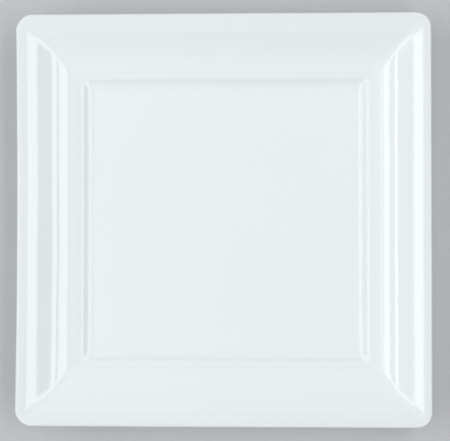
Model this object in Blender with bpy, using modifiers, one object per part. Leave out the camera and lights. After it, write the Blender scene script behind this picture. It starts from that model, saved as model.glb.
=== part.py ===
"""A square bread and butter plate of glazed porcelain, built up the way it is made.

One section line lies on the glazed surface. It starts at the edge of the flat well, climbs a small step, a ledge,
a coved wall and a crown to the lip, turns under, and comes back along the underside and round the foot ring to the
recess.
Each station of that line is carried round a square with rounded corners. The fired body lies a coat's depth
inside the surface. The glaze lies on it in two fields, because the foot ring is wiped bare before firing.
"""

import math
from collections import namedtuple

import bmesh
import bpy
from mathutils import Vector

MM = 0.001

# Plan, outside the glaze
PLATE_SIDE = 160.0 * MM
RIM_CORNER_RADIUS = 6.6 * MM
WELL_CORNER_RADIUS = 1.3 * MM
RECESS_CORNER_RADIUS = 3.0 * MM

# Upper face, from the flat of the well outwards. Each tilt is the slope of the face from the horizontal.
STEP_FOOT_RADIUS = 6.4 * MM
STEP_TILT = math.radians(36)
STEP_FACE = 0.3 * MM
STEP_SHOULDER_RADIUS = 2.9 * MM
SHOULDER_TILT = math.radians(10)
LEDGE_RADIUS = 58.0 * MM
LEDGE_TILT = math.radians(14)
COVE_RADIUS = 33.0 * MM
WALL_TILT = math.radians(28)
WALL_FACE = 5.2 * MM
CREST_UNDERSIDE_RADIUS = 0.4 * MM
CROWN_TILT = math.radians(19.2)
CROWN_FACE = 3.1 * MM
LIP_UNDERSIDE_RADIUS = 2.8 * MM
LIP_TILT = math.radians(6)
LIP_FACE = 1.3 * MM
EDGE_RADIUS = 0.3 * MM

# Thickness, glaze included
FLOOR_THICKNESS = 4.6 * MM
WALL_THICKNESS = 4.2 * MM

# Foot ring and the recess inside it
FOOT_SETBACK = 30.5 * MM
FOOT_CONTACT = 3.2 * MM
FOOT_HEIGHT = 2.6 * MM
FOOT_FLANK_TILT = math.radians(78)
FOOT_EDGE_RADIUS = 0.5 * MM
FOOT_FILLET = 2.5 * MM
RECESS_FILLET = 1.2 * MM

# Glaze, and the seam that keeps it a layer of its own
GLAZE_THICKNESS = 0.4 * MM
GLAZE_SEAM = 0.3 * MM
GLAZE_LINE = 1.0 * MM

# Fineness of the facets
FACET_SAGITTA = 0.022 * MM
CORNER_STEPS = 5

COAT = GLAZE_THICKNESS + GLAZE_SEAM
QUARTER_TURN = math.radians(90)
HALF_TURN = math.radians(180)
CORNER_SIGNS = ((1, 1), (-1, 1), (-1, -1), (1, -1))

GLAZE_COLOUR = (0.80, 0.85, 0.87, 1.0)
GLAZE_ROUGHNESS = 0.06
BISCUIT_COLOUR = (0.80, 0.77, 0.71, 1.0)
BISCUIT_ROUGHNESS = 0.75

Station = namedtuple("Station", "across height heading")
Band = namedtuple("Band", "tilt bend face")

# The rim as bands, each with the bend that leads into it. The wall lies inside a bend that turns down, so that bend
# is a wall's thickness wider on the upper face than on the underside.
SHOULDER = Band(SHOULDER_TILT, STEP_SHOULDER_RADIUS + COAT, 0.0)
LEDGE = Band(LEDGE_TILT, LEDGE_RADIUS, 0.0)
WALL = Band(WALL_TILT, COVE_RADIUS, WALL_FACE)
CROWN = Band(CROWN_TILT, CREST_UNDERSIDE_RADIUS + WALL_THICKNESS, CROWN_FACE)
LIP = Band(LIP_TILT, LIP_UNDERSIDE_RADIUS + WALL_THICKNESS, LIP_FACE)


def left_of(heading):
    """The unit step to the left of a heading, which is out of the surface."""
    return Vector((-math.sin(heading), math.cos(heading)))


class SectionLine:
    """A line of tangent moves in the plane of across and height, with air on its left and clay on its right."""

    def __init__(self, across, height, heading=0.0):
        self.stations = [Station(across, height, heading)]

    @property
    def end(self):
        return self.stations[-1]

    def straight(self, length):
        """Go straight on, or stay where the length is none."""
        across, height, heading = self.end
        if length:
            along = (across + length * math.cos(heading), height + length * math.sin(heading))
            self.stations.append(Station(*along, heading))

    def arc(self, radius, turn):
        """Turn left through a positive angle or right through a negative one."""
        across, height, heading = self.end
        reach = math.copysign(radius, turn)
        centre = Vector((across, height)) + reach * left_of(heading)
        widest_step = 2 * math.acos(1 - min(1, FACET_SAGITTA / radius))
        steps = math.ceil(abs(turn) / widest_step)
        for step in range(1, steps + 1):
            now = heading + turn * step / steps
            self.stations.append(Station(*(centre - reach * left_of(now)), now))


def edge_radius():
    """The radius of the glazed edge, which the wall's own thickness limits."""
    return min(EDGE_RADIUS + COAT, WALL_THICKNESS / 2)


def draw_upper_face(line):
    """Draw the step and the bands of the rim."""
    line.arc(STEP_FOOT_RADIUS, STEP_TILT)
    line.straight(STEP_FACE)
    for band in (SHOULDER, LEDGE, WALL, CROWN, LIP):
        line.arc(band.bend, band.tilt - line.end.heading)
        line.straight(band.face)


def draw_lip(line):
    """Draw the rounded edge of the rim, which is square to the lip."""
    line.arc(edge_radius(), -QUARTER_TURN)
    line.straight(WALL_THICKNESS - 2 * edge_radius())
    line.arc(edge_radius(), -QUARTER_TURN)


def rim_reach():
    """How far the rim stands out beyond the flat of the well."""
    line = SectionLine(0.0, 0.0)
    draw_upper_face(line)
    draw_lip(line)
    return max(station.across for station in line.stations)


def foot_corner(line):
    """How far the underside and the foot's flank run until they cross: from the line's end, and up the flank."""
    inwards = -Vector((math.cos(LEDGE_TILT), math.sin(LEDGE_TILT)))
    up_flank = Vector((math.cos(FOOT_FLANK_TILT), math.sin(FOOT_FLANK_TILT)))
    flank_start = Vector((PLATE_SIDE / 2 - FOOT_SETBACK, FOOT_EDGE_RADIUS))
    flank_start += (FOOT_EDGE_RADIUS + COAT) * left_of(FOOT_FLANK_TILT - HALF_TURN)
    apart = flank_start - Vector((line.end.across, line.end.height))
    crossing = inwards.cross(up_flank)
    return apart.cross(up_flank) / crossing, apart.cross(inwards) / crossing


def flank_below_line():
    """The length of foot flank, above its rounded edge, that the glaze leaves bare."""
    edge_top = FOOT_EDGE_RADIUS - (FOOT_EDGE_RADIUS + COAT) * math.cos(FOOT_FLANK_TILT)
    return (GLAZE_LINE - edge_top) / math.sin(FOOT_FLANK_TILT)


def draw_underside(line):
    """Draw the underside a wall's thickness below the bands, and the foot's outer flank down to the glaze line."""
    line.straight(LIP.face)
    for band, inner in ((LIP, CROWN), (CROWN, WALL), (WALL, LEDGE)):
        turn = inner.tilt - band.tilt
        line.arc(band.bend - math.copysign(WALL_THICKNESS, turn), turn)
        line.straight(inner.face)
    run, flank = foot_corner(line)
    turn = FOOT_FLANK_TILT - LEDGE_TILT
    fillet_reach = FOOT_FILLET * math.tan(turn / 2)
    line.straight(run - fillet_reach)
    line.arc(FOOT_FILLET, turn)
    line.straight(flank - fillet_reach - flank_below_line())


def draw_bare_foot(line):
    """Draw the foot between its two glaze lines, a coat's depth outside the clay that rests on the table."""
    line.straight(flank_below_line())
    line.arc(FOOT_EDGE_RADIUS + COAT, -FOOT_FLANK_TILT)
    line.straight(FOOT_CONTACT)
    line.arc(FOOT_EDGE_RADIUS + COAT, -FOOT_FLANK_TILT)
    line.straight(flank_below_line())


def draw_recess(line):
    """Draw the foot's inner flank and its fillet up to the flat of the recess."""
    fillet_rise = RECESS_FILLET * (1 - math.cos(FOOT_FLANK_TILT))
    line.straight((FOOT_HEIGHT - fillet_rise - line.end.height) / math.sin(FOOT_FLANK_TILT))
    line.arc(RECESS_FILLET, FOOT_FLANK_TILT)


def draw_section():
    """The fields of the section line in order: upper face and lip, underside, bare foot, recess."""
    upper = SectionLine(PLATE_SIDE / 2 - rim_reach(), FOOT_HEIGHT + FLOOR_THICKNESS)
    draw_upper_face(upper)
    draw_lip(upper)
    underside = SectionLine(*upper.end)
    draw_underside(underside)
    foot = SectionLine(*underside.end)
    draw_bare_foot(foot)
    recess = SectionLine(*foot.end)
    draw_recess(recess)
    return upper.stations, underside.stations, foot.stations, recess.stations


def cornered(stations, flat, flat_radius, growth=1.0):
    """Pair each station with its corner's radius, which grows from the flat's to the rim's."""
    return [(s, min(RIM_CORNER_RADIUS, flat_radius + growth * (s.across - flat.across))) for s in stations]


def ring_points(station, corner_radius, depth):
    """The ring of a station round the plate, sunk to a depth below the glazed surface."""
    sink = depth * math.sin(station.heading)
    height = station.height - depth * math.cos(station.heading)
    radius = corner_radius + sink
    corner = station.across - corner_radius
    points = []
    for quarter, (x_sign, y_sign) in enumerate(CORNER_SIGNS):
        for step in range(CORNER_STEPS + 1):
            angle = QUARTER_TURN * (quarter + step / CORNER_STEPS)
            x = corner * x_sign + radius * math.cos(angle)
            y = corner * y_sign + radius * math.sin(angle)
            points.append((x, y, height))
    return points


def loft(name, stations, depth, first_cap, last_cap):
    """An object whose surface runs through the rings of the stations, with its flats capped where asked."""
    shape = bmesh.new()
    rings = []
    for station, corner_radius in stations:
        rings.append([shape.verts.new(p) for p in ring_points(station, corner_radius, depth)])
    for ring, following in zip(rings, rings[1:]):
        for i in range(len(ring)):
            shape.faces.new((ring[i - 1], following[i - 1], following[i], ring[i]))
    if first_cap:
        shape.faces.new(rings[0])
    if last_cap:
        shape.faces.new(reversed(rings[-1]))
    mesh = bpy.data.meshes.new(name)
    shape.to_mesh(mesh)
    shape.free()
    mesh.shade_smooth()
    return bpy.data.objects.new(name, mesh)


def coat_of_glaze(name, stations, first_cap, last_cap):
    """A field of glaze, as an open skin thickened inwards."""
    glaze = loft(name, stations, 0.0, first_cap, last_cap)
    thickness = glaze.modifiers.new("Glaze thickness", "SOLIDIFY")
    thickness.thickness = GLAZE_THICKNESS
    thickness.offset = -1
    thickness.use_even_offset = True
    thickness.use_quality_normals = True
    return glaze


def finish(obj, colour, roughness):
    """Give an object its own material."""
    material = bpy.data.materials.new(obj.name)
    material.use_nodes = True
    material.diffuse_color = colour
    surface = material.node_tree.nodes["Principled BSDF"]
    surface.inputs["Base Color"].default_value = colour
    surface.inputs["Roughness"].default_value = roughness
    surface.inputs["Metallic"].default_value = 0.0
    obj.data.materials.append(material)


def clear_scene():
    for obj in list(bpy.data.objects):
        bpy.data.objects.remove(obj)


def main():
    clear_scene()
    plate = bpy.data.collections.new("square_bread_and_butter_plate")
    bpy.context.scene.collection.children.link(plate)

    upper, underside, foot, recess = draw_section()
    face_growth = (RIM_CORNER_RADIUS - WELL_CORNER_RADIUS) / rim_reach()
    upper = cornered(upper, upper[0], WELL_CORNER_RADIUS, face_growth)
    underside = cornered(underside, recess[-1], RECESS_CORNER_RADIUS)
    foot = cornered(foot, recess[-1], RECESS_CORNER_RADIUS)
    recess = cornered(recess, recess[-1], RECESS_CORNER_RADIUS)

    whole = upper + underside[1:] + foot[1:] + recess[1:]
    body = loft("porcelain_body", whole, COAT, True, True)
    finish(body, BISCUIT_COLOUR, BISCUIT_ROUGHNESS)
    face_glaze = coat_of_glaze("face_and_rim_glaze", upper + underside[1:], True, False)
    finish(face_glaze, GLAZE_COLOUR, GLAZE_ROUGHNESS)
    recess_glaze = coat_of_glaze("foot_recess_glaze", recess, False, True)
    finish(recess_glaze, GLAZE_COLOUR, GLAZE_ROUGHNESS)

    for obj in (body, face_glaze, recess_glaze):
        plate.objects.link(obj)
    face_glaze.parent = body
    recess_glaze.parent = body


main()
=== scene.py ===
"""Looks of a square bread and butter plate: two fields of white glaze, and the bare foot between them.

The section line lies on the glazed surface, as it does in the part's source. Geometry Nodes carry it round a
square with rounded corners, and give the result the bow, the drift and the waves that firing leaves.
"""

import itertools
import math
from collections import namedtuple

import bpy
from bpy.props import FloatProperty, FloatVectorProperty, IntProperty, PointerProperty
from mathutils import Matrix, Vector


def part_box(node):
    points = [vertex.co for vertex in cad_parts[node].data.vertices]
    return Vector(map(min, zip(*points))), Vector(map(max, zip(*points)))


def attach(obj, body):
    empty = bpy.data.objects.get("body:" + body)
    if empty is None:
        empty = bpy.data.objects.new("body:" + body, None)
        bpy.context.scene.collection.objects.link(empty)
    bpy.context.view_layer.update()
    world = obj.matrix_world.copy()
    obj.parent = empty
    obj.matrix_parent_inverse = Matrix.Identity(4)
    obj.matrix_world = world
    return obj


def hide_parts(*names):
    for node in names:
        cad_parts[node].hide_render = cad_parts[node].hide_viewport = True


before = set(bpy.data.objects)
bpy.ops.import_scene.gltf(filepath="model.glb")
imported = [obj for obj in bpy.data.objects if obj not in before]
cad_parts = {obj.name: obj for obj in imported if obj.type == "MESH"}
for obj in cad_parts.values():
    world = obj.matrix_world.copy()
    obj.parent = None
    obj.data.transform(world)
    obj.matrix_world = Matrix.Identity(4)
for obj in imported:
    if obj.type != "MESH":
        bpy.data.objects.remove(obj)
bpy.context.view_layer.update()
FACE_LOW, FACE_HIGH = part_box("face_and_rim_glaze")
RECESS_LOW, RECESS_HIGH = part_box("foot_recess_glaze")

bl_info = {
    "name": "Square bread and butter plate",
    "version": (1, 0, 0),
    "blender": (4, 5, 0),
    "location": "View3D > Sidebar > Plate",
    "description": "Makes the glaze and the bare body of a square plate, with a floor and light",
    "category": "Object",
}

MM = 0.001
QUARTER_TURN = math.radians(90)
HALF_TURN = math.radians(180)

Band = namedtuple("Band", "tilt bend face")
Station = namedtuple("Station", "across height heading curve")
Ring = namedtuple("Ring", "across corner height pooling")
Strip = namedtuple("Strip", "name towards nearest farthest length level mirrored")

# The rim from the step to the lip: slope in degrees, then the bend into it and its flat width in millimetres
RIM_BANDS = (
    Band(10.0, 3.6, 0.0),
    Band(14.0, 58.0, 0.0),
    Band(28.0, 33.0, 5.2),
    Band(19.2, 4.6, 3.1),
    Band(6.0, 7.0, 1.3),
)
BAND_TILTS = [math.radians(band.tilt) for band in RIM_BANDS]
BAND_BENDS = [band.bend * MM for band in RIM_BANDS]
BAND_FACES = [band.face * MM for band in RIM_BANDS]

# Glaze on the clay, in millimetres, and the hair's breadth that keeps the clay's surface out of it
GLAZE_THICKNESS = 0.4
UNDER_GLAZE_GAP = 0.02

# The most that the section line turns between two points, and how close points are merged, in millimetres
LARGEST_TURN = math.radians(6)
MERGE_DISTANCE = 0.001

# Hidden surfaces keep only some of the section's points: the inside of the glaze one in five, the body half
INSIDE_STRIDE = 5
BODY_STRIDE = 2

# Where firing acts: the well's drift is full up to a share of the half side and gone at the edge, and the
# waves set in between two heights above the table
DRIFT_REACH = 25 / 26
WAVE_START = 3.125 * MM
WAVE_FULL = 9.375 * MM
WAVES_PER_METRE = 28.0

# Scale of the finer pattern in an unevenness, against the broad one
FINE_SCALE = 5.3

# Softboxes round the plate: which way they stand, seen from above, and the lean of their two edges from the
# vertical, all in degrees, then their length in millimetres, their brightness and whether the glaze mirrors
# them. A lean of over 90 degrees puts one below the floor, which lets its light through.
LIGHT_STRIPS = (
    Strip("left_outer_strip", 180, 56.0, 66.0, 900, 2.4, False),
    Strip("left_upper_strip", 180, 24.0, 26.0, 1200, 1.7, True),
    Strip("left_middle_strip", 180, 27.8, 34.9, 700, 2.6, True),
    Strip("left_lower_strip", 180, 42.1, 45.7, 700, 3.2, True),
    Strip("right_upper_strip", 0, 23.4, 34.4, 1200, 2.15, True),
    Strip("right_lower_strip", 0, 37.4, 43.6, 1200, 2.5, True),
    Strip("back_panel", 90, 30.0, 52.0, 1200, 0.25, True),
    Strip("overhead_panel", 180, -2.5, 17.5, 272, 2.2, False),
    Strip("under_panel", 300, 140.0, 165.0, 600, 2.6, True),
)

# Power of a softbox of brightness 1
WATTS_PER_SQUARE_METRE = 4.0


def length(name, millimetres, description):
    """A size that the sidebar shows as a length."""
    metres = millimetres * MM
    return FloatProperty(
        name=name, description=description, default=metres, precision=5, unit="LENGTH", subtype="DISTANCE"
    )


def angle(name, degrees, description):
    """A slope that the sidebar shows as an angle."""
    return FloatProperty(name=name, description=description, default=math.radians(degrees), subtype="ANGLE")


def point(name, metres, description):
    """A place that the sidebar shows as three lengths."""
    return FloatVectorProperty(
        name=name, description=description, default=metres, subtype="XYZ", unit="LENGTH"
    )


def colour(name, default, description):
    """A colour that the sidebar shows as a swatch."""
    return FloatVectorProperty(
        name=name, description=description, default=default, size=3, min=0.0, max=1.0, subtype="COLOR"
    )


def share(name, default, description):
    """A number from 0 to 1."""
    return FloatProperty(
        name=name, description=description, default=default, min=0.0, max=1.0, subtype="FACTOR"
    )


def factor(name, default, description):
    """A number that isn't negative."""
    return FloatProperty(name=name, description=description, default=default, min=0.0)


def per_band(name, values, unit, description):
    """One number for each band of the rim, from the step outwards."""
    return FloatVectorProperty(
        name=name, description=description, default=values, size=len(values), precision=5, unit=unit
    )


class PlateShape(bpy.types.PropertyGroup):
    """Sizes of the plate, outside the glaze."""

    side: length("Side", (FACE_HIGH.x - FACE_LOW.x) / MM, "Side of the square, edge to edge")
    rim_corner: length("Rim corner", 6.6, "Radius of the plate's outer corners, seen from above")
    mitre_corner: length("Mitre corner", 2.4, "Radius of the rim's corners inside the lip")
    well_corner: length("Well corner", 0.8, "Radius of the corners of the well's flat")
    corner_growth: factor("Corner growth", 0.2, "How fast the well's corners widen outwards")
    recess_corner: length("Recess corner", 0.4, "Radius of the corners of the recess's flat")
    flat_margin: length("Flat margin", 2.6, "Width of both flats that the section takes in")
    step_tilt: angle("Step slope", 36, "Slope of the small step round the well")
    step_face: length("Step face", 0.3, "Width of the step between its two bends")
    step_foot: length("Step foot", 6.4, "Radius of the hollow bend at the step's foot")
    band_tilts: per_band("Rim slopes", BAND_TILTS, "ROTATION", "Slope of each band")
    band_bends: per_band("Rim bends", BAND_BENDS, "LENGTH", "Radius of the bend into each band")
    band_faces: per_band("Rim faces", BAND_FACES, "LENGTH", "Flat width of each band")
    edge: length("Edge", 1.0, "Radius of the rounded outer edge")
    floor_thickness: length("Floor thickness", 4.6, "Thickness under the well")
    wall_thickness: length("Wall thickness", 4.2, "Thickness of the rim")
    foot_setback: length("Foot setback", 30.5, "How far the foot's contact band lies inside the edge")
    foot_contact: length("Foot contact", 3.2, "Width of the flat band that the plate rests on")
    foot_height: length("Foot height", RECESS_HIGH.z / MM - GLAZE_THICKNESS, "Height of the foot's recess")
    foot_flank: angle("Foot flank", 78, "Slope of both flanks of the foot")
    foot_edge: length("Foot edge", 0.5, "Radius of the bare foot's edges")
    foot_fillet: length("Foot fillet", 2.5, "Radius of the bend between the foot and the underside")
    recess_fillet: length("Recess fillet", 1.2, "Radius of the bend between the foot and the recess")
    coat: length("Coat", 0.7, "Depth of the bare foot below the glazed surface")
    glaze: length("Glaze", GLAZE_THICKNESS, "Thickness of the glaze")
    glaze_line: length("Glaze line", RECESS_LOW.z / MM, "Height at which the glaze on the foot ends")
    # The same spread sets how far the painted shade over an edge reaches
    pool_and_shade_spread: length("Pool spread", 3.0, "How far the glaze runs to either side of a bend")
    fineness: length("Fineness", 0.35, "Longest step along the section line")
    ring_points: IntProperty(
        name="Ring points", description="Points round the plate", default=256, min=16, step=16
    )
    corner_share: factor("Corner share", 1 / 3, "Points in half a corner against those in half a side")
    bow: length("Bow", 0.7, "How far the left side has pulled in while it was fired")
    narrowing: share("Narrowing", 0.0065, "How much more it has shrunk from front to back than sideways")
    drift: length("Drift", 0.5, "How far the well lies off centre, towards the right")
    waves: length("Waves", 0.07, "Height of the shallow waves in the rim")


class PlateFinish(bpy.types.PropertyGroup):
    """Colours and gloss of the plate."""

    glaze: colour("Glaze", (0.805, 0.848, 0.866), "Colour of the glaze on flat faces")
    pooled: colour("Pooled glaze", (0.76, 0.82, 0.845), "Colour of the glaze where it lies deep in a hollow")
    # Greyer over tight edges: partly the glaze really thinning there, partly painted shade that darkens the
    # lip
    thinned_and_shaded: colour("Thinned glaze", (0.72, 0.745, 0.765), "Colour of the glaze where it thins over an edge")
    pinholes: colour("Pinholes", (0.68, 0.71, 0.72), "Colour of the pinholes in the glaze")
    gloss: share("Glaze roughness", 0.03, "Roughness of the glaze")
    haze: share("Glaze haze", 0.02, "How much the roughness of the glaze varies to either side")
    biscuit: colour("Bare porcelain", (0.80, 0.77, 0.71), "Colour of the fired clay without glaze")
    soiled: colour("Soiled foot", (0.60, 0.57, 0.52), "Colour that use leaves on the contact band")
    soil_height: length("Soil height", 0.4, "Height on the foot at which the soiling ends")
    specks: colour("Iron specks", (0.33, 0.27, 0.21), "Colour of the specks in the clay")


class PlateStage(bpy.types.PropertyGroup):
    """Floor, lights and camera."""

    floor: colour("Floor", (0.52, 0.53, 0.54), "Colour of the floor")
    mottle: share("Mottle", 0.04, "How much paler the floor's palest patches are")
    floor_reach: length("Floor reach", 4000, "How far the floor goes on to each side")
    fade_start: length("Fade start", 240, "Distance at which the floor begins to fade into the backdrop")
    fade_end: length("Fade end", 721, "Distance at which the floor has gone over into the backdrop")
    tint: colour("Light tint", (0.97, 0.99, 1.0), "Colour of the light from all round and of the backdrop")
    fill: share("Fill", 0.25, "Brightness of the light from all round")
    backdrop: share("Backdrop", 0.62, "Brightness of the backdrop, where it is seen or mirrored")
    lamp_level: factor("Lamp level", 1.0, "Brightness of all softboxes")
    lamp_distance: length("Lamp distance", 700, "Distance from the plate to the softboxes")
    lamp_pivot: length("Lamp pivot", 65, "Place on the far rim from which the softboxes lean")
    camera: point("Camera", (0.0176, -0.0085, 0.490), "Place of the camera")
    aim: point("Aim", (0.0010, -0.0003, 0.0153), "Point at the middle of the picture")
    span: length("Picture width", 172.4, "Width that the picture takes in at the aim")


def left_of(heading):
    """The unit step to the left of a heading, which is out of the surface."""
    return Vector((-math.sin(heading), math.cos(heading)))


class SectionLine:
    """A line of tangent moves in the plane of across and height, with air on its left, clay on its right."""

    def __init__(self, fineness, across, height, heading=0.0):
        self.fineness = fineness
        self.stations = [Station(across, height, heading, 0.0)]

    @property
    def end(self):
        return self.stations[-1]

    def straight(self, run):
        start = self.end
        steps = math.ceil(run / self.fineness)
        for step in range(1, steps + 1):
            gone = run * step / steps
            across = start.across + gone * math.cos(start.heading)
            height = start.height + gone * math.sin(start.heading)
            self.stations.append(Station(across, height, start.heading, 0.0))

    def arc(self, radius, turn):
        """Turn left through a positive angle or right through a negative one."""
        start = self.end
        reach = math.copysign(radius, turn)
        centre = Vector((start.across, start.height)) + reach * left_of(start.heading)
        steps = max(math.ceil(radius * abs(turn) / self.fineness), math.ceil(abs(turn) / LARGEST_TURN))
        for step in range(1, steps + 1):
            heading = start.heading + turn * step / steps
            place = centre - reach * left_of(heading)
            self.stations.append(Station(place.x, place.y, heading, 1 / reach))


def rim_bands(shape):
    """The bands of the rim, from the step outwards."""
    return [Band(*row) for row in zip(shape.band_tilts, shape.band_bends, shape.band_faces)]


def draw_upper_face(line, shape):
    """Draw the step and the bands of the rim, then the rounded edge, which is square to the lip."""
    line.straight(shape.flat_margin)
    line.arc(shape.step_foot, shape.step_tilt)
    line.straight(shape.step_face)
    for band in rim_bands(shape):
        line.arc(band.bend, band.tilt - line.end.heading)
        line.straight(band.face)
    line.arc(shape.edge, -QUARTER_TURN)
    line.straight(shape.wall_thickness - 2 * shape.edge)
    line.arc(shape.edge, -QUARTER_TURN)


def rim_reach(shape):
    """How far the rim stands out beyond the flat of the well."""
    line = SectionLine(shape.fineness, 0.0, 0.0)
    draw_upper_face(line, shape)
    return max(station.across for station in line.stations)


def bare_flank(shape):
    """The length of foot flank, above its rounded edge, that the glaze leaves bare."""
    edge_top = shape.foot_edge - (shape.foot_edge + shape.coat) * math.cos(shape.foot_flank)
    return (shape.glaze_line - edge_top) / math.sin(shape.foot_flank)


def foot_corner(line, shape):
    """How far the underside runs on from the line's end, and the flank upwards, until the two cross."""
    inwards = Vector((math.cos(line.end.heading), math.sin(line.end.heading)))
    upwards = Vector((math.cos(shape.foot_flank), math.sin(shape.foot_flank)))
    off_flank = left_of(shape.foot_flank - HALF_TURN)
    flank_start = Vector((shape.side / 2 - shape.foot_setback, shape.foot_edge))
    flank_start += (shape.foot_edge + shape.coat) * off_flank
    apart = flank_start - Vector((line.end.across, line.end.height))
    crossing = inwards.cross(upwards)
    return apart.cross(upwards) / crossing, apart.cross(inwards) / crossing


def draw_underside(line, shape):
    """Draw the underside, a wall's thickness below the bands, and the foot's flank to the glaze line."""
    bands = rim_bands(shape)[1:]
    for band, inner in zip(reversed(bands), reversed(bands[:-1])):
        line.straight(band.face)
        turn = inner.tilt - band.tilt
        line.arc(band.bend - math.copysign(shape.wall_thickness, turn), turn)
    run, flank = foot_corner(line, shape)
    turn = shape.foot_flank - bands[0].tilt
    taken = shape.foot_fillet * math.tan(turn / 2)
    line.straight(run - taken)
    line.arc(shape.foot_fillet, turn)
    line.straight(flank - taken - bare_flank(shape))


def draw_bare_foot(line, shape):
    """Draw the foot between its two glaze lines, a coat's depth outside the clay that rests on the table."""
    line.straight(bare_flank(shape))
    line.arc(shape.foot_edge + shape.coat, -shape.foot_flank)
    line.straight(shape.foot_contact)
    line.arc(shape.foot_edge + shape.coat, -shape.foot_flank)
    line.straight(bare_flank(shape))


def draw_recess(line, shape):
    """Draw the foot's inner flank and its fillet up to the flat of the recess."""
    fillet_rise = shape.recess_fillet * (1 - math.cos(shape.foot_flank))
    line.straight((shape.foot_height - fillet_rise - line.end.height) / math.sin(shape.foot_flank))
    line.arc(shape.recess_fillet, shape.foot_flank)
    line.straight(shape.flat_margin)


def draw_section(shape):
    """The glazed surface in three fields: upper face and underside, bare foot, recess."""
    well_height = shape.foot_height + shape.floor_thickness
    face = SectionLine(shape.fineness, shape.side / 2 - rim_reach(shape), well_height)
    draw_upper_face(face, shape)
    draw_underside(face, shape)
    foot = SectionLine(shape.fineness, face.end.across, face.end.height, face.end.heading)
    draw_bare_foot(foot, shape)
    recess = SectionLine(shape.fineness, foot.end.across, foot.end.height, foot.end.heading)
    draw_recess(recess, shape)
    return face.stations, foot.stations, recess.stations


def brim(face):
    """The index at which the rim's edge has turned under."""
    return next(index for index, station in enumerate(face) if station.heading < -QUARTER_TURN)


def pooling(stations, spread):
    """How deep the glaze lies at each station, evened out: 1 in a tight hollow, -1 over a tight edge, where
    it also sets the painted shade.
    """
    steps = [math.dist(here[:2], before[:2]) for here, before in zip(stations[1:], stations)]
    gone = [0.0, *itertools.accumulate(steps)]
    evened = []
    for middle in gone:
        near = [i for i in range(1, len(gone)) if abs(gone[i] - middle) < spread]
        curving = sum(steps[i - 1] * max(-1.0, min(1.0, spread * stations[i].curve)) for i in near)
        evened.append(curving / sum(steps[i - 1] for i in near))
    return evened


def upper_corner(shape, flat, across):
    """Radius of the face's corners: the well's, which widen to the mitre's, then a lip of even width."""
    mitre = min(shape.mitre_corner, shape.well_corner + shape.corner_growth * (across - flat.across))
    return max(mitre, shape.rim_corner - (shape.side / 2 - across))


def lower_corner(shape, flat, across):
    """Radius of the underside's corners, parallel to the recess's until they are as wide as the rim's."""
    return min(shape.rim_corner, shape.recess_corner + across - flat.across)


def rings(stations, flat, corner_at, shape, depths):
    """A ring for each station, sunk below the surface, with the corners that its distance out calls for."""
    made = []
    for station, depth, pool_and_shade in zip(stations, depths, pooling(stations, shape.pool_and_shade_spread)):
        corner = corner_at(shape, flat, station.across)
        out = depth * math.sin(station.heading)
        height = station.height - depth * math.cos(station.heading)
        made.append(Ring(station.across + out, corner + out, height, pool_and_shade))
    return made


def rolled_end(station, corner, shape, at_start=False):
    """The soft end of a field of glaze, from its surface round to the clay."""
    heading = station.heading + HALF_TURN if at_start else station.heading
    roll = SectionLine(shape.fineness, station.across, station.height, heading)
    roll.arc(shape.glaze / 2, HALF_TURN if at_start else -HALF_TURN)
    # The rolled end counts as a tight edge, so it takes the full grey of the thinned glaze and its painted
    # shade
    return [Ring(s.across, corner + s.across - station.across, s.height, -1.0) for s in roll.stations[1:-1]]


def section_object(name, section):
    """The section as a line of edges, with what the loft needs at each of its points."""
    mesh = bpy.data.meshes.new(name)
    points = [(ring.across, 0.0, ring.height) for ring in section]
    mesh.from_pydata(points, [(i, i + 1) for i in range(len(points) - 1)], [])
    for field in ("corner", "pooling"):
        values = mesh.attributes.new(field, "FLOAT", "POINT").data
        values.foreach_set("value", [getattr(ring, field) for ring in section])
    piece = bpy.data.objects.new(name, mesh)
    bpy.context.scene.collection.objects.link(piece)
    return piece


class Nodes:
    """A node tree being drawn. Its calls add nodes, fill inputs with values or links and give outputs."""

    def __init__(self, tree):
        self.tree = tree

    def node(self, kind, inputs=None, **settings):
        node = self.tree.nodes.new(kind)
        row, column = divmod(len(self.tree.nodes), 10)
        node.location = (220 * column, -280 * row)
        for name, value in settings.items():
            setattr(node, name, value)
        for key, value in (inputs or {}).items():
            self.feed(node.inputs[key], value)
        return node

    def feed(self, socket, value):
        if isinstance(value, bpy.types.NodeSocket):
            self.tree.links.new(value, socket)
        else:
            socket.default_value = value

    def out(self, kind, inputs=None, **settings):
        return self.node(kind, inputs, **settings).outputs[0]

    def math(self, operation, *values, clamp=False):
        return self.out("ShaderNodeMath", dict(enumerate(values)), operation=operation, use_clamp=clamp)

    def between(self, value, low, high):
        """A value from 0 to 1 carried to the span from low to high."""
        return self.math("MULTIPLY_ADD", value, high - low, low)

    def ramp(self, value, start, end):
        """A straight run from 0 at start to 1 at end, level beyond them."""
        return self.out("ShaderNodeMapRange", {"Value": value, "From Min": start, "From Max": end})

    def vector(self, operation, *values):
        return self.out("ShaderNodeVectorMath", dict(enumerate(values)), operation=operation)

    def scaled(self, vector, size):
        return self.out("ShaderNodeVectorMath", {0: vector, "Scale": size}, operation="SCALE")

    def combined(self, x, y, z):
        return self.out("ShaderNodeCombineXYZ", {0: x, 1: y, 2: z})

    def parts(self, vector):
        return self.node("ShaderNodeSeparateXYZ", {0: vector}).outputs


class Sketch(Nodes):
    """A node group being drawn, with named inputs and outputs."""

    def __init__(self, name, kind, inputs, outputs):
        super().__init__(bpy.data.node_groups.new(name, kind))
        for in_out, sockets in (("INPUT", inputs), ("OUTPUT", outputs)):
            for socket, socket_type in sockets.items():
                self.tree.interface.new_socket(name=socket, in_out=in_out, socket_type=socket_type)
        self.given = self.node("NodeGroupInput").outputs

    def position(self):
        return self.out("GeometryNodeInputPosition")

    def finish(self, outputs):
        self.node("NodeGroupOutput", outputs)
        return self.tree


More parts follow.
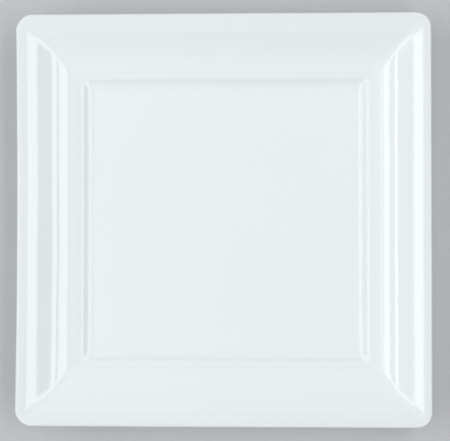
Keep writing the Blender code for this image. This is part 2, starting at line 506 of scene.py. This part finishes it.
def draw_rounded_square():
    """A group that carries a point of the unit square to a rounded one, with more points in its corners."""
    sketch = Sketch(
        "Point of a rounded square",
        "GeometryNodeTree",
        {
            "Square point": "NodeSocketVector",
            "Across": "NodeSocketFloat",
            "Corner": "NodeSocketFloat",
            "Corner share": "NodeSocketFloat",
        },
        {"Point": "NodeSocketVector"},
    )
    given = sketch.given
    sizes = sketch.parts(sketch.vector("ABSOLUTE", given["Square point"]))
    reach = sketch.math("MAXIMUM", sizes[0], sizes[1])
    limit = sketch.combined(reach, reach, 0.0)
    stretched = sketch.scaled(given["Square point"], sketch.math("ADD", given["Corner share"], 1.0))
    lowered = sketch.vector("MINIMUM", stretched, limit)
    straight = sketch.vector("MAXIMUM", lowered, sketch.scaled(limit, -1.0))
    outwards = sketch.vector("NORMALIZE", sketch.vector("SUBTRACT", stretched, straight))
    inner = sketch.math("SUBTRACT", given["Across"], given["Corner"])
    turned = sketch.scaled(outwards, sketch.math("MULTIPLY", given["Corner"], reach))
    return sketch.finish({0: sketch.vector("ADD", sketch.scaled(straight, inner), turned)})


def draw_square_wave(sketch, turn):
    """One coordinate of a point that goes round the unit square once as turn goes from 0 to 1."""
    centred = sketch.between(sketch.math("FRACT", turn), -1.0, 1.0)
    peaked = sketch.between(sketch.math("ABSOLUTE", centred), -2.0, 2.0)
    return sketch.math("MAXIMUM", sketch.math("MINIMUM", peaked, 1.0), -1.0)


def draw_carried(sketch, rounded, grid, square_point, station):
    """A grid carried onto the rings of the section, with the depth of its glaze stored on it, which also sets
    the painted shade over edges.
    """
    section = sketch.given["Section"]

    def at_station(kind, value):
        inputs = {"Geometry": section, "Value": value, "Index": station}
        return sketch.out("GeometryNodeSampleIndex", inputs, data_type=kind, domain="POINT")

    def stored(name):
        attribute = sketch.out("GeometryNodeInputNamedAttribute", {"Name": name}, data_type="FLOAT")
        return at_station("FLOAT", attribute)

    place = sketch.parts(at_station("FLOAT_VECTOR", sketch.position()))
    ring = {
        "Square point": square_point,
        "Across": place[0],
        "Corner": stored("corner"),
        "Corner share": sketch.given["Corner share"],
    }
    flat = sketch.out("GeometryNodeGroup", ring, node_tree=rounded)
    raised = sketch.vector("ADD", flat, sketch.combined(0.0, 0.0, place[2]))
    # The stored value also marks where painted shade greys the edges
    pooled = {"Geometry": grid, "Name": "pooling", "Value": stored("pooling")}
    kept = sketch.out("GeometryNodeStoreNamedAttribute", pooled, data_type="FLOAT", domain="POINT")
    return sketch.out("GeometryNodeSetPosition", {"Geometry": kept, "Position": raised})


def draw_wall(sketch, rounded, stations):
    """The wall of the loft: one row of points for each station."""
    around = sketch.math("ADD", sketch.given["Ring points"], 1.0)
    grid = sketch.out("GeometryNodeMeshGrid", {"Vertices X": around, "Vertices Y": stations})
    place = sketch.parts(sketch.position())
    turn = sketch.math("SUBTRACT", 0.5, place[0])
    later = sketch.math("SUBTRACT", turn, 0.25)
    square_point = sketch.combined(draw_square_wave(sketch, turn), draw_square_wave(sketch, later), 0.0)
    gone = sketch.math("ADD", place[1], 0.5)
    up_section = sketch.math("MULTIPLY", gone, sketch.math("SUBTRACT", stations, 1.0))
    return draw_carried(sketch, rounded, grid, square_point, sketch.math("ROUND", up_section))


def draw_flat(sketch, rounded, station):
    """A flat that closes the loft at one station."""
    across = sketch.math("MULTIPLY_ADD", sketch.given["Ring points"], 0.25, 1.0)
    sizes = {"Size X": 2.0, "Size Y": 2.0, "Vertices X": across, "Vertices Y": across}
    grid = sketch.out("GeometryNodeMeshGrid", sizes)
    return draw_carried(sketch, rounded, grid, sketch.position(), station)


def draw_pull(sketch, position):
    """How far firing has pulled each point sideways: the left side's bow, the drift and the narrowing."""
    given = sketch.given
    on_square = sketch.scaled(position, sketch.math("DIVIDE", 2.0, given["Side"]))
    place = sketch.parts(on_square)
    leftward = sketch.math("MULTIPLY", place[0], -1.0, clamp=True)
    along = sketch.math("SUBTRACT", 1.0, sketch.math("POWER", place[1], 2.0), clamp=True)
    bowed = sketch.math("MULTIPLY", sketch.math("POWER", leftward, 2.0), along)
    sizes = sketch.parts(sketch.vector("ABSOLUTE", on_square))
    inside_rim = sketch.ramp(sketch.math("MAXIMUM", sizes[0], sizes[1]), 1.0, DRIFT_REACH)
    bow = sketch.math("MULTIPLY", bowed, given["Bow"])
    sideways = sketch.math("MULTIPLY_ADD", inside_rim, given["Drift"], bow)
    inwards = sketch.math("MULTIPLY", given["Narrowing"], -1.0)
    return sketch.combined(sideways, sketch.math("MULTIPLY", sketch.parts(position)[1], inwards), 0.0)


def draw_waves(sketch, position):
    """How far firing has waved each point, which is nothing near the foot."""
    noise = {"Vector": position, "Scale": WAVES_PER_METRE, "Detail": 1.0}
    waved = sketch.node("ShaderNodeTexNoise", noise).outputs["Color"]
    centred = sketch.vector("SUBTRACT", waved, (0.5, 0.5, 0.5))
    lifted = sketch.ramp(sketch.parts(position)[2], WAVE_START, WAVE_FULL)
    swing = sketch.math("MULTIPLY", sketch.given["Waves"], 2.0)
    return sketch.scaled(centred, sketch.math("MULTIPLY", swing, lifted))


def draw_fired(sketch, shell):
    """The shell as it leaves the kiln: pulled sideways, with shallow waves in its rim."""
    position = sketch.position()
    offset = sketch.vector("ADD", draw_pull(sketch, position), draw_waves(sketch, position))
    return sketch.out("GeometryNodeSetPosition", {"Geometry": shell, "Offset": offset})


def draw_plate_loft():
    """The tree that carries a section round a square, closes it with two flats and fires it."""
    rounded = draw_rounded_square()
    sketch = Sketch(
        "Section round a square",
        "GeometryNodeTree",
        {
            "Section": "NodeSocketGeometry",
            "Side": "NodeSocketFloat",
            "Ring points": "NodeSocketInt",
            "Corner share": "NodeSocketFloat",
            "Bow": "NodeSocketFloat",
            "Narrowing": "NodeSocketFloat",
            "Drift": "NodeSocketFloat",
            "Waves": "NodeSocketFloat",
            "Finish": "NodeSocketMaterial",
        },
        {"Shell": "NodeSocketGeometry"},
    )
    section = {"Geometry": sketch.given["Section"]}
    stations = sketch.out("GeometryNodeAttributeDomainSize", section, component="MESH")
    last = sketch.math("SUBTRACT", stations, 1.0)
    wall = draw_wall(sketch, rounded, stations)
    first_flat = draw_flat(sketch, rounded, 0)
    last_flat = sketch.out("GeometryNodeFlipFaces", {"Mesh": draw_flat(sketch, rounded, last)})
    joined = sketch.node("GeometryNodeJoinGeometry")
    for surface in (wall, first_flat, last_flat):
        sketch.tree.links.new(surface, joined.inputs[0])
    seams = {"Geometry": joined.outputs[0], "Distance": MERGE_DISTANCE * MM}
    fired = draw_fired(sketch, sketch.out("GeometryNodeMergeByDistance", seams))
    smooth = sketch.out("GeometryNodeSetShadeSmooth", {"Geometry": fired})
    real = sketch.out("GeometryNodeRealizeInstances", {"Geometry": smooth})
    finished = {"Geometry": real, "Material": sketch.given["Finish"]}
    return sketch.finish({0: sketch.out("GeometryNodeSetMaterial", finished)})


def loft(name, section, finish, shape):
    """A finished piece: the section carried round the square as a plain closed mesh."""
    tree = bpy.data.node_groups.get("Section round a square") or draw_plate_loft()
    piece = section_object(name, section)
    modifier = piece.modifiers.new("Section round a square", "NODES")
    modifier.node_group = tree
    values = {
        "Side": shape.side,
        "Ring points": shape.ring_points,
        "Corner share": shape.corner_share,
        "Bow": shape.bow,
        "Narrowing": shape.narrowing,
        "Drift": shape.drift,
        "Waves": shape.waves,
        "Finish": finish,
    }
    for item in tree.interface.items_tree:
        if item.in_out == "INPUT" and item.name in values:
            modifier[item.identifier] = values[item.name]
    depsgraph = bpy.context.evaluated_depsgraph_get()
    mesh = bpy.data.meshes.new_from_object(piece.evaluated_get(depsgraph), depsgraph=depsgraph)
    piece.modifiers.clear()
    piece.data = mesh
    mesh.name = name
    if not mesh.polygons:
        raise RuntimeError(f"the loft of {name} is empty")
    return piece


def stand_for(piece, node):
    """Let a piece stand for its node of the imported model."""
    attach(piece, "root")
    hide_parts(node)


def draw_unevenness():
    """A shader group: two sizes of soft unevenness, for a bump or for a change of colour."""
    sketch = Sketch(
        "Unevenness",
        "ShaderNodeTree",
        {"Vector": "NodeSocketVector", "Scale": "NodeSocketFloat", "Fine share": "NodeSocketFloat"},
        {"Value": "NodeSocketFloat"},
    )
    given = sketch.given

    def noise(scale):
        return sketch.out("ShaderNodeTexNoise", {"Vector": given["Vector"], "Scale": scale, "Detail": 2.0})

    broad = noise(given["Scale"])
    fine = noise(sketch.math("MULTIPLY", given["Scale"], FINE_SCALE))
    return sketch.finish({0: sketch.out("ShaderNodeMix", {0: given["Fine share"], 2: broad, 3: fine})})


def draw_specks():
    """A shader group: a mask of sparse round specks."""
    sizes = ("Scale", "Size", "Count")
    sketch = Sketch(
        "Specks",
        "ShaderNodeTree",
        {"Vector": "NodeSocketVector", **dict.fromkeys(sizes, "NodeSocketFloat")},
        {"Mask": "NodeSocketFloat"},
    )
    given = sketch.given
    cells = sketch.node("ShaderNodeTexVoronoi", {"Vector": given["Vector"], "Scale": given["Scale"]})
    edge = sketch.math("SUBTRACT", given["Size"], cells.outputs["Distance"])
    dot = sketch.math("DIVIDE", edge, sketch.math("MULTIPLY", given["Size"], 0.5), clamp=True)
    pick = sketch.parts(cells.outputs["Color"])[0]
    chosen = sketch.math("LESS_THAN", pick, given["Count"])
    return sketch.finish({0: sketch.math("MULTIPLY", dot, chosen)})


class Surface(Nodes):
    """A material being made, with short calls for its nodes."""

    def __init__(self, name):
        self.material = bpy.data.materials.new(name)
        self.material.use_nodes = True
        super().__init__(self.material.node_tree)
        self.shader = self.tree.nodes["Principled BSDF"]
        self.where = self.out_of("ShaderNodeTexCoord", "Object")

    def out_of(self, kind, output, inputs=None, **settings):
        return self.node(kind, inputs, **settings).outputs[output]

    def group(self, name, draw, **sizes):
        """A shader group in its place, drawn the first time that it is asked for."""
        inputs = {key.replace("_", " ").capitalize(): value for key, value in sizes.items()}
        tree = bpy.data.node_groups.get(name) or draw()
        return self.out("ShaderNodeGroup", {"Vector": self.where, **inputs}, node_tree=tree)

    def mixed(self, amount, first, second):
        return self.out_of("ShaderNodeMix", 2, {0: amount, 6: first, 7: second}, data_type="RGBA")

    def set_input(self, name, value):
        self.feed(self.shader.inputs[name], value)

    def bump(self, height, distance, strength):
        inputs = {"Height": height, "Distance": distance, "Strength": strength}
        self.set_input("Normal", self.out("ShaderNodeBump", inputs))


def opaque(rgb):
    """A colour with the alpha that a socket asks for."""
    return (*rgb, 1.0)


def white_glaze(finish):
    """High gloss: cooler where it pools, greyer over edges, partly where it thins and partly as painted shade
    on the lip, with a faint ripple and a few pinholes.
    """
    made = bpy.data.materials.get("white_glaze_finish")
    if made:
        return made
    surface = Surface("white_glaze_finish")
    depth = surface.out_of("ShaderNodeAttribute", "Fac", attribute_name="pooling")
    cloud = surface.group("Unevenness", draw_unevenness, scale=30.0, fine_share=0.3)
    hollow = surface.math("ADD", depth, surface.between(cloud, -0.25, 0.25), clamp=True)
    # Over tight edges the colour turns greyer: partly the glaze thinning, partly painted shade on the lip
    ridge = surface.math("MULTIPLY", depth, -1.0, clamp=True)
    pooled = surface.mixed(hollow, opaque(finish.glaze), opaque(finish.pooled))
    thinned_and_shaded = surface.mixed(ridge, pooled, opaque(finish.thinned_and_shaded))
    pinholes = surface.group("Specks", draw_specks, scale=110.0, size=0.03, count=0.03)
    surface.set_input("Base Color", surface.mixed(pinholes, thinned_and_shaded, opaque(finish.pinholes)))
    haze = surface.group("Unevenness", draw_unevenness, scale=90.0, fine_share=0.5)
    hazy = surface.between(haze, finish.gloss - finish.haze, finish.gloss + finish.haze)
    surface.set_input("Roughness", hazy)
    ripple = surface.group("Unevenness", draw_unevenness, scale=260.0, fine_share=0.2)
    surface.bump(surface.math("SUBTRACT", ripple, pinholes), distance=0.02 * MM, strength=0.35)
    surface.set_input("IOR", 1.5)
    return surface.material


def bare_porcelain(finish):
    """Matt fired clay with a fine grain, some iron specks, and soiling where it rests on the table."""
    surface = Surface("bare_porcelain_finish")
    cloud = surface.group("Unevenness", draw_unevenness, scale=120.0, fine_share=0.4)
    near_table = surface.ramp(surface.parts(surface.where)[2], finish.soil_height, 0.0)
    patchy = surface.ramp(cloud, 0.21875, 0.84375)
    soil = surface.math("MULTIPLY", near_table, patchy)
    soiled = surface.mixed(soil, opaque(finish.biscuit), opaque(finish.soiled))
    specks = surface.group("Specks", draw_specks, scale=420.0, size=0.12, count=0.08)
    surface.set_input("Base Color", surface.mixed(specks, soiled, opaque(finish.specks)))
    surface.set_input("Roughness", surface.between(cloud, 0.65, 0.85))
    grain = surface.group("Unevenness", draw_unevenness, scale=1500.0, fine_share=0.5)
    surface.bump(grain, distance=0.06 * MM, strength=0.8)
    return surface.material


class PLATE_OT_face_glaze(bpy.types.Operator):
    """Make the field of glaze over the well, the rim and the underside, down to the foot"""

    bl_idname = "plate.face_glaze"
    bl_label = "Glaze the face and rim"

    def execute(self, context):
        shape = context.scene.plate_shape
        face, _, recess = draw_section(shape)
        upper = face[:brim(face)]
        lower = face[brim(face):]

        def laid(depth):
            depths = itertools.repeat(depth)
            above = rings(upper, face[0], upper_corner, shape, depths)
            return above + rings(lower, recess[-1], lower_corner, shape, depths)

        outside = laid(0.0)
        inside = laid(shape.glaze)[::-INSIDE_STRIDE]
        section = outside + rolled_end(face[-1], outside[-1].corner, shape) + inside
        piece = loft("glazed_face_and_rim", section, white_glaze(context.scene.plate_finish), shape)
        stand_for(piece, "face_and_rim_glaze")
        return {"FINISHED"}


class PLATE_OT_recess_glaze(bpy.types.Operator):
    """Make the field of glaze inside the foot ring"""

    bl_idname = "plate.recess_glaze"
    bl_label = "Glaze the foot recess"

    def execute(self, context):
        shape = context.scene.plate_shape
        recess = draw_section(shape)[2]
        outside = rings(recess, recess[-1], lower_corner, shape, itertools.repeat(0.0))
        inside = rings(recess, recess[-1], lower_corner, shape, itertools.repeat(shape.glaze))
        start = rolled_end(recess[0], outside[0].corner, shape, at_start=True)
        section = inside[::-1] + start[::-1] + outside
        piece = loft("glazed_foot_recess", section, white_glaze(context.scene.plate_finish), shape)
        stand_for(piece, "foot_recess_glaze")
        return {"FINISHED"}


class PLATE_OT_body(bpy.types.Operator):
    """Make the fired body, of which only the foot ring shows"""

    bl_idname = "plate.body"
    bl_label = "Fire the body"

    def execute(self, context):
        shape = context.scene.plate_shape
        face, foot, recess = draw_section(shape)
        under_glaze = shape.glaze + UNDER_GLAZE_GAP * MM

        def depth(station):
            bare = max(0.0, min(1.0, 1 - station.height / shape.glaze_line))
            return under_glaze + bare * (shape.coat - under_glaze)

        upper = face[:brim(face):BODY_STRIDE]
        lower = face[brim(face):-1:BODY_STRIDE] + foot[:-1] + recess
        section = rings(upper, face[0], upper_corner, shape, map(depth, upper))
        section += rings(lower, recess[-1], lower_corner, shape, map(depth, lower))
        piece = loft("fired_body", section, bare_porcelain(context.scene.plate_finish), shape)
        stand_for(piece, "porcelain_body")
        return {"FINISHED"}


def floor_finish(stage):
    """A matt, mottled floor that fades into the backdrop and lets the plate be seen and lit from below."""
    surface = Surface("floor_finish")
    cloud = surface.group("Unevenness", draw_unevenness, scale=40.0, fine_share=0.5)
    paler = [min(1.0, channel * (1 + stage.mottle)) for channel in stage.floor]
    surface.set_input("Base Color", surface.mixed(cloud, opaque(stage.floor), opaque(paler)))
    surface.set_input("Roughness", 0.8)
    below = surface.out_of("ShaderNodeNewGeometry", "Backfacing")
    rays = surface.node("ShaderNodeLightPath").outputs
    lit_from_below = surface.math("MAXIMUM", rays["Is Diffuse Ray"], rays["Is Shadow Ray"])
    distance = surface.out_of("ShaderNodeVectorMath", "Value", {0: surface.where}, operation="LENGTH")
    faded = surface.ramp(distance, stage.fade_start, stage.fade_end)
    let_through = surface.math("MAXIMUM", surface.math("MAXIMUM", below, lit_from_below), faded)
    clear = surface.out("ShaderNodeBsdfTransparent")
    seen = surface.out("ShaderNodeMixShader", {0: let_through, 1: surface.shader.outputs[0], 2: clear})
    surface.feed(surface.tree.nodes["Material Output"].inputs["Surface"], seen)
    return surface.material


def add_floor(stage):
    """A plain floor under the plate."""
    mesh = bpy.data.meshes.new("floor")
    reach = stage.floor_reach
    corners = [(-reach, -reach, 0), (reach, -reach, 0), (reach, reach, 0), (-reach, reach, 0)]
    mesh.from_pydata(corners, [], [(0, 1, 2, 3)])
    mesh.materials.append(floor_finish(stage))
    floor = bpy.data.objects.new("floor", mesh)
    bpy.context.scene.collection.objects.link(floor)


def add_strip(strip, stage):
    """A softbox that lies between two angles from the vertical, seen from the far rim, and faces that rim."""
    lean = math.radians((strip.nearest + strip.farthest) / 2)
    turn = math.radians(strip.towards)
    half_width = math.radians((strip.farthest - strip.nearest) / 2)
    light = bpy.data.lights.new(strip.name, "AREA")
    light.shape = "RECTANGLE"
    light.size = 2 * stage.lamp_distance * math.tan(half_width)
    light.size_y = strip.length * MM
    brightness = WATTS_PER_SQUARE_METRE * strip.level * stage.lamp_level
    light.energy = brightness * light.size * light.size_y
    lamp = bpy.data.objects.new(strip.name, light)
    outwards = Vector((math.cos(turn), math.sin(turn), 0.0))
    ray = math.sin(lean) * outwards + Vector((0.0, 0.0, math.cos(lean)))
    lamp.location = stage.lamp_distance * ray - stage.lamp_pivot * outwards
    lamp.rotation_euler = (0.0, lean, turn)
    lamp.visible_camera = False
    lamp.visible_glossy = strip.mirrored
    bpy.context.scene.collection.objects.link(lamp)


def add_camera(stage):
    """A camera over the plate, upright in the picture and aimed at a point of it."""
    data = bpy.data.cameras.new("camera")
    camera = bpy.data.objects.new("camera", data)
    location = Vector(stage.camera)
    back = location - Vector(stage.aim)
    data.sensor_fit = "HORIZONTAL"
    data.lens = data.sensor_width * back.length / stage.span
    data.clip_start = 0.01
    back.normalize()
    right = Vector((0.0, 1.0, 0.0)).cross(back).normalized()
    camera.matrix_world = Matrix((right, back.cross(right), back)).transposed().to_4x4()
    camera.location = location
    bpy.context.scene.collection.objects.link(camera)
    bpy.context.scene.camera = camera


def light_world(stage):
    """Even light from all round, and a paler backdrop where it is seen past the floor or mirrored."""
    world = bpy.data.worlds.new("studio")
    bpy.context.scene.world = world
    world.use_nodes = True
    nodes = Nodes(world.node_tree)
    rays = nodes.node("ShaderNodeLightPath").outputs
    mirrored = nodes.math("MAXIMUM", rays["Is Glossy Ray"], rays["Is Transmission Ray"])
    seen = nodes.math("MAXIMUM", rays["Is Camera Ray"], mirrored)
    background = nodes.tree.nodes["Background"].inputs
    nodes.feed(background["Color"], opaque(stage.tint))
    nodes.feed(background["Strength"], nodes.between(seen, stage.fill, stage.backdrop))


class PLATE_OT_stage(bpy.types.Operator):
    """Set up the floor, the softboxes, the light from all round and the camera"""

    bl_idname = "plate.stage"
    bl_label = "Set up the floor and light"

    def execute(self, context):
        stage = context.scene.plate_stage
        context.scene.view_settings.view_transform = "Standard"
        add_camera(stage)
        add_floor(stage)
        for strip in LIGHT_STRIPS:
            add_strip(strip, stage)
        light_world(stage)
        return {"FINISHED"}


class PLATE_PT_maker(bpy.types.Panel):
    """The plate's pieces and sizes"""

    bl_idname = "PLATE_PT_maker"
    bl_label = "Square plate"
    bl_space_type = "VIEW_3D"
    bl_region_type = "UI"
    bl_category = "Plate"

    def draw(self, context):
        for operator in OPERATORS:
            self.layout.operator(operator.bl_idname)
        for holder in (context.scene.plate_shape, context.scene.plate_finish, context.scene.plate_stage):
            column = self.layout.column()
            for name in holder.__annotations__:
                column.prop(holder, name)


OPERATORS = (PLATE_OT_stage, PLATE_OT_body, PLATE_OT_face_glaze, PLATE_OT_recess_glaze)
CLASSES = (PlateShape, PlateFinish, PlateStage, *OPERATORS, PLATE_PT_maker)


def register():
    for cls in CLASSES:
        bpy.utils.register_class(cls)
    bpy.types.Scene.plate_shape = PointerProperty(type=PlateShape)
    bpy.types.Scene.plate_finish = PointerProperty(type=PlateFinish)
    bpy.types.Scene.plate_stage = PointerProperty(type=PlateStage)


def unregister():
    del bpy.types.Scene.plate_stage
    del bpy.types.Scene.plate_finish
    del bpy.types.Scene.plate_shape
    for cls in reversed(CLASSES):
        bpy.utils.unregister_class(cls)


def main():
    register()
    bpy.ops.plate.stage()
    bpy.ops.plate.body()
    bpy.ops.plate.face_glaze()
    bpy.ops.plate.recess_glaze()


if __name__ == "__main__":
    main()
